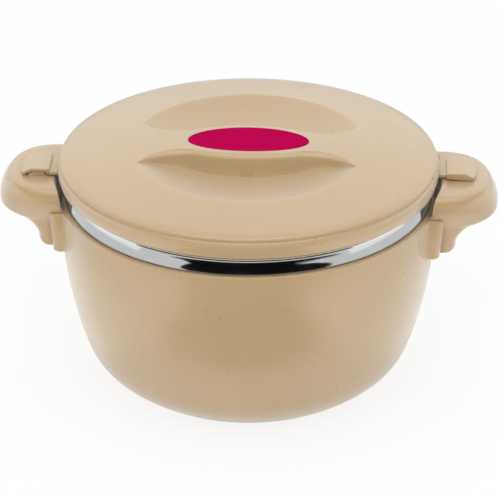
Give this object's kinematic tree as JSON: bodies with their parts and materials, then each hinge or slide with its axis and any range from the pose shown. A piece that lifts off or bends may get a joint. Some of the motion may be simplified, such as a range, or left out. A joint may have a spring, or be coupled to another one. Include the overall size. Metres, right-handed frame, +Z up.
{
  "type": "thermal serving bowl",
  "caption": "Round insulated serving bowl with a steel inner pot, ear handles and a low domed lid with finger scoops that twists free of the handles and lifts off.",
  "frame": {"origin": "middle of the ring that the bowl stands on, at the level of the table", "axes": "+Z up along the bowl's axis, +X towards the right handle, -Y towards the front"},
  "size_m": [0.3027, 0.23, 0.1593],
  "materials": {
    "beige_plastic": "satin",
    "steel": "polished",
    "foam": "matt",
    "plug_plastic": "satin",
    "screw_steel": "zinc plated",
    "liner_plastic": "satin",
    "seal_rubber": "matt",
    "badge_plastic": "gloss"
  },
  "bodies": {
    "base": {"outer_bowl": "beige_plastic", "inner_pot": "steel", "body_insulation": "foam", "foam_plug": "plug_plastic", "handle_screws": "screw_steel", "right_handle": "beige_plastic", "left_handle": "beige_plastic"},
    "seal": {"lid_seal": "seal_rubber"},
    "lid": {"lid_shell": "beige_plastic", "lid_liner": "liner_plastic", "lid_insulation": "foam", "lid_foam_plug": "plug_plastic", "lid_badge": "badge_plastic"}
  },
  "joints": [
    {"name": "lid_lift", "type": "slide", "parent": "base", "child": "seal", "axis": [0, 0, 1], "range_m": [0, 0.12]},
    {"name": "lid_twist", "type": "hinge", "parent": "seal", "child": "lid", "pos_m": [0, 0, 0.1376], "axis": [0, 0, 1], "range_deg": [-24, 0]}
  ]
}
